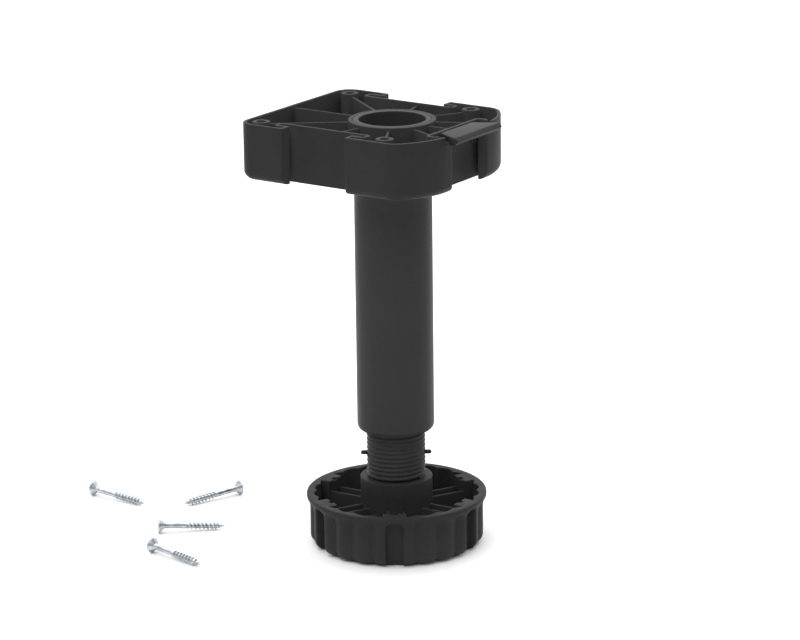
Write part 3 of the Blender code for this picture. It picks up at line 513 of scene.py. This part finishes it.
def build_plate():
    z0, z1 = PLATE_Z0, TOP_Z
    # the walled outline with its hooked slots: rounded top edges, straight sides
    levels = [(0.0, z0 - 1.0)]
    e = 0.34
    for k in range(5):
        a = math.radians(22.5 * k)
        levels.append((e * (1 - math.cos(a)), z1 - e * (1 - math.sin(a))))
    for k in range(5):
        a = math.radians(22.5 * k)
        levels.append((WALL - e * (1 - math.sin(a)), z1 - e * (1 - math.cos(a))))
    floor_z, f = z0 + PLATE_FLOOR, 0.5
    for k in range(4):
        a = math.radians(30 * k)
        levels.append((WALL + f * (1 - math.cos(a)), floor_z + f * (1 - math.sin(a))))
    rings = [[(x, y, z) for x, y in closed_outline(offset_corners(PLATE_LOOP, i), 7)] for i, z in levels]
    tray = loft("mounting_plate", rings)
    # the full outline with its large bottom rounding
    rings = []
    for k in range(13):
        a = math.radians(7.5 * k)
        rings.append([(x, y, z0 + BOTTOM_ROUND * (1 - math.cos(a))) for x, y in closed_outline(
            offset_corners(BLANK_LOOP, BOTTOM_ROUND * (1 - math.sin(a)) - (0.02 if k else 0.0)), 14)])
    rings.append([(x, y, z1 + 5.0) for x, y in closed_outline(offset_corners(BLANK_LOOP, -0.02), 14)])
    tray = boolean(tray, loft("blank", rings), "INTERSECT")
    tray = boolean(tray, lathe("c", [(0, z1 + 9), (18.2, z1 + 9), (18.2, z0 - 9), (0, z0 - 9)], 96),
                   "DIFFERENCE")
    mid = (COLLAR_R + COLLAR_BORE_R) / 2
    collar = rounded_profile([
        (mid, z1), (COLLAR_R, z1, 0.32), (COLLAR_R, z0 + PLATE_FLOOR + 0.0, 0.0), (COLLAR_R + 0.9, z0 + 1.2),
        (COLLAR_R + 0.9, z0 + 0.05), (COLLAR_BORE_R - 0.15, z0 + 0.05, 0.4), (COLLAR_BORE_R - 0.15, z1, 0.1),
        (mid, z1)], 4)[:-1]
    bosses = [(x, y) for x in BOSS_X for y in (-BOSS_Y, BOSS_Y)]
    posts = []
    for x, y in bosses:
        prof = rounded_profile([
            (0, z1), (BOSS_R, z1, 0.32), (BOSS_R + 0.2, z0 + PLATE_FLOOR - 0.5),
            (BOSS_R + 0.2, z0 + 0.9), (0, z0 + 0.9)], 4)
        posts.append(place(lathe("post", prof, 48), x, y, 0, 0))
    h = z1 - 1.0 - (z0 + 1.0)
    wall = WALL / 2
    ends = [(x, y, BOSS_R - 0.9) for x, y in bosses]
    ends += [(PLATE_X0 + wall, 0.0, 0.0), (END_WALL_X - wall, 0.0, 0.0),
             (END_WALL_X - wall, 15.0, 0.0), (END_WALL_X - wall, -15.0, 0.0)]
    side = math.radians(104.0)
    reach = (SIDE_WALL_Y - wall) / math.sin(side)
    ends += [(reach * math.cos(side), sgn * reach * math.sin(side), 0.0) for sgn in (-1, 1)]
    mesh = boolean(tray, join(posts, "posts"), "UNION")
    for x, y, less in ends:
        length, a = math.hypot(x, y) - less, math.atan2(y, x)
        s = 18.5
        rib = place(bar("rib", length - s, 1.1, h, 0.3, 4, 0.18), s * math.cos(a), s * math.sin(a), z0 + 1.0, a)
        mesh = boolean(mesh, rib, "UNION")
    mesh = boolean(mesh, lathe("collar", collar, 160), "UNION")
    holes = []
    for x, y in bosses:
        prof = [(0, z1 + 3), (2.6, z1 + 3), (2.3, z1 + 0.05), (2.0, z1 - 0.35), (2.0, z0 + 1.75),
                (3.8, z0 - 0.05), (4.6, z0 - 1.0), (0, z0 - 1.0)]
        holes.append(place(lathe("hole", prof, 40), x, y, 0, 0))
    mesh = boolean(mesh, join(holes, "holes"), "DIFFERENCE")
    seat = bar("seat", 30, 2 * LIP_Y + 0.6, 9, 0.1, 1)
    mesh = boolean(mesh, place(seat, LIP_X0 - 0.3, 0, TOP_Z - 2.6, 0), "DIFFERENCE")
    return mesh


piece("plate_body", build_plate(), "leg", "plate_plastic", "mounting_plate")


# ------------------------------------------------------------------ support lip
def build_lip():
    raw = [
        (LIP_X0, TOP_Z, 0.35), (LIP_X0, TOP_Z - 2.3, 0.3), (39.9, TOP_Z - 2.3, 0.05),
        (40.2, TOP_Z - 4.0, 0.3), (43.6, TOP_Z - 3.2, 0.4), (LIP_X1, TOP_Z - 1.4, 0.35),
        (LIP_NOSE_X, TOP_Z, 0.5),
    ]
    outline = closed_outline(raw, 6)
    mesh = loft("support_lip", [[(x, y, z) for x, z in outline] for y in (-25.0, 25.0)])
    # the plan: a trapezoid with round nose corners, its two ends softened along the top
    slope = (LIP_Y - LIP_Y_BACK) / (LIP_NOSE_X - LIP_X0)
    plan = mirrored([(LIP_X0 - 3.0, -LIP_Y_BACK + 3.0 * slope, 0.8), (LIP_NOSE_X, -LIP_Y, 2.4),
                     (LIP_X1 + 3.0, -LIP_Y + 3.6, 0.8)])
    e = 0.5
    levels = [(0.0, -9.0)] + [(e * (1 - math.cos(math.radians(18 * k))), -e * (1 - math.sin(math.radians(18 * k))))
                              for k in range(6)] + [(e, 3.0)]
    rings = [[(x, y, TOP_Z + z) for x, y in closed_outline(offset_corners(plan, i), 8)] for i, z in levels]
    mesh = boolean(mesh, loft("plan", rings), "INTERSECT")
    feet = []
    for s in (-1, 1):
        ell = [(9.5, -1.2, 0.05), (9.5, -8.3, 0.3), (17.4, -8.3, 0.3), (17.4, -3.0, 0.3), (11.6, -3.0, 0.2),
               (11.6, -1.2, 0.05)]
        flat = closed_outline(ell, 3)
        feet.append(loft("foot", [[(x, s * y, TOP_Z + z) for y, z in flat]
                                  for x in (LIP_X0 + 0.2, END_HOOK_X - 0.3)]))
    for foot in feet:
        mesh = boolean(mesh, foot, "UNION")
    return mesh


piece("lip_strip", build_lip(), "leg", "lip_plastic", "support_lip")


# ------------------------------------------------------------------ tube
def build_tube():
    z0, z1 = TUBE_Z0, TOP_Z
    prof = rounded_profile([
        (15.7, z1), (TUBE_R, z1, 0.12), (TUBE_R, z0, TUBE_END_ROUND), (TUBE_END_R, z0, 0.3),
        (TUBE_END_R, z0 + TUBE_END_H, 0.2), (TUBE_BORE_R, z0 + TUBE_END_H), (TUBE_BORE_R, z1, 0.35),
        (15.7, z1)], 8)[:-1]
    mesh = lathe("leg_tube", prof, 240)
    # very shallow vertical flats left by the mould
    co = np.zeros(len(mesh.vertices) * 3)
    mesh.vertices.foreach_get("co", co)
    co = co.reshape(-1, 3)
    r = np.hypot(co[:, 0], co[:, 1])
    a = np.arctan2(co[:, 1], co[:, 0])
    weight = np.clip((r - 0.0150) / 0.0019, 0, 1)
    flats = 0.00004 * (0.5 - 0.5 * np.cos(12 * a)) + 0.00001 * (0.5 - 0.5 * np.cos(31 * a + 1.0))
    scale = 1 - weight * flats / r
    co[:, 0] *= scale
    co[:, 1] *= scale
    mesh.vertices.foreach_set("co", co.ravel())
    tab = bar("tab", 0.9, 1.0, 7.0, 0.15, 2)
    tab = place(tab, (TUBE_BORE_R - 0.5) * math.cos(TICK_ANGLE), (TUBE_BORE_R - 0.5) * math.sin(TICK_ANGLE),
                z1 - 7.4, TICK_ANGLE)
    return boolean(mesh, tab, "UNION")


piece("tube_shell", build_tube(), "leg", "tube_plastic", "leg_tube")


# ------------------------------------------------------------------ threads
def vee(depth, phase, crest_flat=0.10, root_flat=0.10, blend=0.10):
    """Height of a rounded V thread at a phase; its root is at phase 0."""
    u = 1 - abs(2 * phase - 1)            # 0 at the root, 1 at the crest
    t = min(1.0, max(0.0, (u - root_flat) / (1 - crest_flat - root_flat)))
    soft = t * t * (3 - 2 * t)
    return depth * (t * (1 - blend * 2) + soft * blend * 2)


def build_insert():
    z0, z1 = BUSH_Z0, BUSH_Z1
    prof = [(13.7, z1), (14.2, z1 - 0.5), (14.2, z0 + 0.5), (13.7, z0), (8.0, z0), (8.0, z1)]
    mesh = lathe("thread_insert", prof, 144)
    first = THREAD_Z0 + 10 * PITCH
    turns = math.ceil((z1 - first) / PITCH) + 1
    cut = helix_rod("groove", lambda z, p: ROOT_R + PLAY + vee(THREAD_DEPTH, p),
                    first, first + turns * PITCH, PITCH, 8, 72)
    return boolean(mesh, cut, "DIFFERENCE")


piece("tube_end_bush", build_insert(), "leg", "insert_plastic", "thread_insert")


def build_stem():
    rod = helix_rod("threaded_stem", lambda z, p: ROOT_R + vee(THREAD_DEPTH, p),
                    THREAD_Z0, THREAD_Z0 + 29 * PITCH, PITCH, 10, 96)
    s0 = 30.83
    trim = [(0, STEM_Z1), (CREST_R + 0.4 - 1.2, STEM_Z1), (CREST_R + 0.4, STEM_Z1 - 1.2),
            (CREST_R + 0.4, s0), (0, s0)]
    rod = boolean(rod, lathe("trim", trim, 96, 0.01), "INTERSECT")
    spigot = rounded_profile([(0, s0 + 0.6), (11.0, s0 + 0.6), (11.0, SPIGOT_Z0, 0.6), (0, SPIGOT_Z0)], 4)
    rod = boolean(rod, lathe("spigot", spigot, 96), "UNION")
    bore = rounded_profile([(0, STEM_Z1 + 5), (8.0, STEM_Z1 + 5), (8.0, 9.0, 1.5), (0, 9.0)], 4)
    rod = boolean(rod, lathe("bore", bore, 72), "DIFFERENCE")
    hole = lathe("hole", [(0, 20.0), (PIN_R + 0.3, 20.0), (PIN_R + 0.3, -20.0), (0, -20.0)], 24)
    moved(hole, Matrix.Translation((0, 0, PIN_Z * MM)) @ Matrix.Rotation(PIN_ANGLE, 4, "Z")
          @ Matrix.Rotation(math.pi / 2, 4, "Y"))
    return boolean(rod, hole, "DIFFERENCE")


piece("stem_threaded", build_stem(), "foot", "stem_plastic", "threaded_stem", sharp=50.0)


def build_pin():
    half = PIN_L / 2
    prof = [(0.0, half)]
    for k in range(1, 7):
        a = math.radians(15 * k)
        prof.append((PIN_R * math.sin(a), half - PIN_R * (1 - math.cos(a))))
    prof.append((PIN_R, 12.0))
    prof.append((PIN_R - 0.12, 11.6))
    prof = prof + [(r, -z) for r, z in reversed(prof)]
    mesh = lathe("stop_pin", prof, 32)
    return moved(mesh, Matrix.Translation((0, 0, PIN_Z * MM)) @ Matrix.Rotation(PIN_ANGLE, 4, "Z")
                 @ Matrix.Rotation(math.pi / 2, 4, "Y"))


piece("pin_cross", build_pin(), "foot", "stem_plastic", "stop_pin")


# ------------------------------------------------------------------ foot
def skirt_radius(a):
    """A cusp lies at each slot's middle."""
    u = ((a - SLOT_A0) * LOBES / (2 * math.pi)) % 1.0
    return SKIRT_R - LOBE_D + LOBE_D * math.sin(math.pi * u) ** 0.92


def build_foot():
    n = LOBES * 14
    angles = [SLOT_A0 + 2 * math.pi * i / n for i in range(n)]

    def ring(fn, z):
        return [(fn(a) * math.cos(a), fn(a) * math.sin(a), z) for a in angles]

    rings = []
    for k in range(11):                                      # the large rounding of the bottom edge
        t = math.radians(9 * k)
        rings.append(ring(lambda a: skirt_radius(a) - FOOT_ROUND * (1 - math.sin(t)),
                          FOOT_Z0 + FOOT_ROUND * (1 - math.cos(t))))
    low = RIM_Z - RIM_H
    for k in range(9):                                       # the skirt runs out into the rim
        t = k / 8
        rings.append(ring(lambda a: skirt_radius(a) + (RIM_R - 0.25 - skirt_radius(a)) * t ** 2.2,
                          low - 0.1 - (RIM_BLEND - 0.1) * (1 - t)))
    for k in range(4):
        t = math.radians(30 * k)
        rings.append(ring(lambda a: RIM_R - 0.25 * (1 - math.sin(t)), low + 0.25 * (1 - math.cos(t))))
    c = 0.55
    for k in range(6):
        t = math.radians(18 * k)
        rings.append(ring(lambda a: RIM_R - c * (1 - math.cos(t)), RIM_Z - c * (1 - math.sin(t))))
    inner = lambda a: skirt_radius(a) - SKIRT_WALL
    for k in range(5):
        t = math.radians(22.5 * k)
        rings.append(ring(lambda a: inner(a) + 0.35 * (1 - math.sin(t)), RIM_Z - 0.35 * (1 - math.cos(t))))
    f = 1.2
    for k in range(6):
        t = math.radians(18 * k)
        rings.append(ring(lambda a: inner(a) - f * (1 - math.cos(t)), FLOOR_Z + f * (1 - math.sin(t))))
    mesh = loft("foot_base", rings)
    recess = rounded_profile([(0, -6), (GLIDE_R + 0.3, -6), (GLIDE_R + 0.3, GLIDE_T + 0.3, 0.2), (0, GLIDE_T + 0.3)], 3)
    mesh = boolean(mesh, lathe("recess", recess, 128), "DIFFERENCE")
    hub = rounded_profile([
        (HUB_BORE_R, FLOOR_Z - 1.2), (HUB_BORE_R, HUB_Z, 0.4), (HUB_R, HUB_Z, 0.45),
        (HUB_R + 0.12, FLOOR_Z, 1.6), (HUB_R + 2.2, FLOOR_Z - 0.05), (HUB_R + 2.2, FLOOR_Z - 1.2)], 6)
    mesh = boolean(mesh, lathe("hub", hub, 160), "UNION")
    blocks, ribs, notches, slots = [], [], [], []
    for k in range(SLOTS):
        a = SLOT_A0 + k * 2 * math.pi / SLOTS
        u, v = Vector((math.cos(a), math.sin(a))), Vector((-math.sin(a), math.cos(a)))
        # the pad behind each slot: a block with rounded top and front edges
        w, r = POCKET_W / 2, 0.35
        top = RIM_Z - 0.04
        sect = closed_outline([(POCKET_R, -w, 0.6), (36.7, -w, 0.02), (36.7, w, 0.02), (POCKET_R, w, 0.6)], 4)
        ringlist = []
        for inset, z in ((0.0, FLOOR_Z - 1.0), (0.0, top - r), (r * 0.134, top - r * 0.5), (r * 0.5, top - r * 0.134), (r, top)):
            ringlist.append([(max(x, POCKET_R + inset) if x < 36.6 else x,
                              math.copysign(max(0.0, min(abs(y), w - inset)), y), z) for x, y in sect])
        blocks.append(place(loft("block", ringlist), 0, 0, 0, a))
        for s in (-1, 1):
            p = u * 15.4 + v * (3.5 * s)
            ribs.append(place(bar("rib", 17.2, 1.1, 18.4 - FLOOR_Z + 0.8, 0.3, 4, 0.25), p.x, p.y, FLOOR_Z - 0.8, a))
        notch = bar("notch", 2.3, 3.0, 2.0, 0.2, 1)
        p = u * (POCKET_R - 0.7)
        notches.append(place(notch, p.x, p.y, RIM_Z - 0.9, a))
        # the slot, its mouth flared like a rounded edge
        ringlist = []
        for d, grow in ((SLOT_R, -0.3), (SLOT_R + 0.09, -0.12), (SLOT_R + 0.3, 0.0), (36.6, 0.0), (37.1, 0.04),
                        (37.6, 0.12), (38.0, 0.26), (38.4, 0.5), (38.7, 0.9), (46.0, 0.9)):
            pts = []
            hw = SLOT_W / 2 + grow
            pts.append((hw, -4.0))
            for i in range(17):
                t = math.radians(11.25 * i)
                pts.append((hw * math.cos(t), SLOT_TOP - 2.6 + (2.6 + min(grow, 0.3)) * math.sin(t)))
            pts.append((-hw, -4.0))
            ringlist.append([(d, y, z) for y, z in pts])
        slots.append(place(loft("slot", ringlist), 0, 0, 0, a))
    for b in blocks:
        mesh = boolean(mesh, b, "UNION")
    mesh = boolean(mesh, join(ribs, "ribs"), "UNION")
    mesh = boolean(mesh, join(slots, "slots"), "DIFFERENCE")
    mesh = boolean(mesh, join(notches, "notches"), "DIFFERENCE")
    return mesh


piece("foot_cup", build_foot(), "foot", "foot_plastic", "foot_base")


def build_glide():
    prof = [(0, GLIDE_T), (GLIDE_R - 0.3, GLIDE_T), (GLIDE_R, GLIDE_T - 0.3), (GLIDE_R, 0.6), (GLIDE_R - 0.6, 0.0)]
    r = GLIDE_R - 3.0
    while r > 6:                                             # concentric grip grooves in the sole
        prof += [(r, 0.0), (r - 0.25, 0.45), (r - 1.05, 0.45), (r - 1.3, 0.0)]
        r -= 4.2
    prof.append((0, 0))
    return lathe("floor_glide", prof, 128)


piece("glide_sole", build_glide(), "floor", "glide_rubber", "floor_glide")


# ------------------------------------------------------------------ wood screws
def build_screw():
    """Head face at z = 0, tip at z = -30."""
    length, core, crest, p = 30.0, 1.12, 1.75, 1.8
    z_tip = -length

    def radius(z, phase):
        up = z - z_tip
        taper = min(1.0, max(0.0, up / 4.2)) ** 0.75
        c = 0.06 + (core - 0.06) * taper
        u = abs(phase - 0.5) * p                              # mm from the crest
        ridge = max(0.0, 1 - max(0.0, u - 0.06) / 0.36)
        grow = min(1.0, max(0.0, up / 3.0))
        fade = min(1.0, max(0.0, (-12.4 - z) / 1.6))
        return c + (crest - core) * ridge * grow * fade

    rod = helix_rod("wood_screw", radius, z_tip - p * 0.5, -11.8, p, 20, 40)
    cut = lathe("tip", [(0, 5), (5, 5), (5, z_tip + 0.05), (0, z_tip + 0.05)], 24)
    rod = boolean(rod, cut, "INTERSECT")
    head = rounded_profile([
        (0, 0), (3.4, 0, 0.12), (3.4, -0.35, 0.08), (1.5, -2.45, 0.5), (1.3, -3.4), (1.3, -12.4),
        (1.16, -12.9), (0, -12.9)], 4)
    mesh = boolean(lathe("head", head, 48), rod, "UNION")
    # cross recess: four tapered wings and a pointed middle
    wings = []
    for k in range(4):
        rings = []
        for z, reach, w in ((0.4, 2.05, 0.56), (-0.6, 1.75, 0.5), (-1.5, 1.2, 0.42), (-2.1, 0.6, 0.34)):
            rings.append([(-0.2, -w, z), (reach, -w * 0.85, z), (reach, w * 0.85, z), (-0.2, w, z)])
        wings.append(place(loft("wing", rings), 0, 0, 0, k * math.pi / 2))
    for wng in wings:
        mesh = boolean(mesh, wng, "DIFFERENCE")
    return mesh


def screw_placement(name, index):
    """Axis of a screw's CAD node at rest: centre line from its points, the wide end is the head."""
    obj = frame["nodes"][name]
    co = np.array([v.co for v in obj.data.vertices], float)
    mid = co.mean(0)
    _, vecs = np.linalg.eigh(np.cov((co - mid).T))
    axis = vecs[:, -1]
    t = (co - mid) @ axis
    radial = np.linalg.norm((co - mid) - np.outer(t, axis), axis=1)
    if radial[t > t.max() - 0.002].max() < radial[t < t.min() + 0.002].max():
        axis, t = -axis, -t
    # refine: the head's face ring and the tip give the true axis
    face = co[t > t.max() - 0.0004]
    rim = face[np.linalg.norm(face - face.mean(0), axis=1) > 0.0030]
    head = (rim.max(0) + rim.min(0)) / 2 if len(rim) else face.mean(0)
    tip = co[t < t.min() + 0.0002].mean(0)
    up = Vector(head - tip).normalized()
    side = up.cross(Vector((0, 0, 1))).normalized()
    front = side.cross(up)
    rot = Matrix((front, side, up)).transposed().to_4x4()
    return Matrix.Translation(Vector(tip) + up * 29.98 * MM) @ rot @ Matrix.Rotation(math.radians(31 * index), 4, "Z")


screw_mesh = build_screw()
for index in range(1, 5):
    node = f"wood_screw_{index}"
    mesh = screw_mesh.copy()
    mesh.transform(screw_placement(node, index))
    piece(f"screw_{index}", mesh, "floor", "screw_zinc", node, sharp=40.0)
bpy.data.meshes.remove(screw_mesh)


# ------------------------------------------------------------------ stage, light, camera
def stage_floor():
    bm = bmesh.new()
    bmesh.ops.create_grid(bm, x_segments=1, y_segments=1, size=14.0)
    mesh = bpy.data.meshes.new("studio_floor")
    bm.to_mesh(mesh)
    bm.free()
    obj = bpy.data.objects.new("studio_floor", mesh)
    bpy.context.scene.collection.objects.link(obj)
    mat, nt, bsdf = nodes_of("studio_floor")
    bsdf.inputs["Base Color"].default_value = (0.93, 0.93, 0.93, 1)
    bsdf.inputs["Roughness"].default_value = 0.9
    bsdf.inputs["Specular IOR Level"].default_value = 0.1
    mesh.materials.append(mat)


def area(name, loc, size, power, target=(0, 0, 0.1)):
    data = bpy.data.lights.new(name, "AREA")
    data.shape = "RECTANGLE"
    data.size, data.size_y = size
    data.energy = power
    obj = bpy.data.objects.new(name, data)
    bpy.context.scene.collection.objects.link(obj)
    obj.location = loc
    obj.rotation_euler = (Vector(target) - Vector(loc)).to_track_quat("-Z", "Y").to_euler()
    return obj


WORLD_FRONT, WORLD_BACK = 0.42, 1.45
stage_floor()
world = bpy.data.worlds.new("studio")
bpy.context.scene.world = world
world.use_nodes = True

# a sweep of light: brighter behind the object and overhead, dimmer on the camera's side
nt = world.node_tree
sky = nt.nodes["Background"]
sky.inputs["Color"].default_value = (1, 1, 1, 1)
where = nt.nodes.new("ShaderNodeTexCoord")
along = nt.nodes.new("ShaderNodeVectorMath")
along.operation = "DOT_PRODUCT"
along.inputs[1].default_value = (-math.sin(math.radians(34.07)), math.cos(math.radians(34.07)), 0.25)
nt.links.new(where.outputs["Generated"], along.inputs[0])
fade = nt.nodes.new("ShaderNodeMapRange")
fade.interpolation_type = "SMOOTHSTEP"
fade.inputs["From Min"].default_value = -0.9
fade.inputs["From Max"].default_value = 0.9
fade.inputs["To Min"].default_value = WORLD_FRONT
fade.inputs["To Max"].default_value = WORLD_BACK
nt.links.new(along.outputs["Value"], fade.inputs["Value"])
nt.links.new(fade.outputs["Result"], sky.inputs["Strength"])

# the camera looks along yaw/pitch; "right" is its horizontal side direction
yaw, pitch, roll = math.radians(34.07), math.radians(-16.052), math.radians(-0.666)
fw = Vector((-math.sin(yaw) * math.cos(pitch), math.cos(yaw) * math.cos(pitch), math.sin(pitch)))
right = Vector((math.cos(yaw), math.sin(yaw), 0))
up = right.cross(fw)
r2 = right * math.cos(roll) + up * math.sin(roll)
u2 = -right * math.sin(roll) + up * math.cos(roll)
area("overhead", Vector((0, 0, 0.1)) + fw * 0.5 + Vector((0, 0, 1.7)), (1.8, 1.8), 15)
area("key", Vector((0, 0, 0.1)) - fw * 1.1 - right * 0.5 + Vector((0, 0, 1.3)), (1.5, 1.5), 17)

cam_data = bpy.data.cameras.new("camera")
cam_data.sensor_width = 36.0
cam_data.lens = 158.10
cam_data.clip_start, cam_data.clip_end = 0.05, 60.0
cam = bpy.data.objects.new("camera", cam_data)
bpy.context.scene.collection.objects.link(cam)
rot = Matrix((r2, u2, -fw)).transposed().to_4x4()
cam.matrix_world = Matrix.Translation(Vector((0.828417, -1.220721, 0.52594))) @ rot
bpy.context.scene.camera = cam
bpy.context.scene.view_settings.view_transform = "Standard"
bpy.context.scene.view_settings.look = "None"
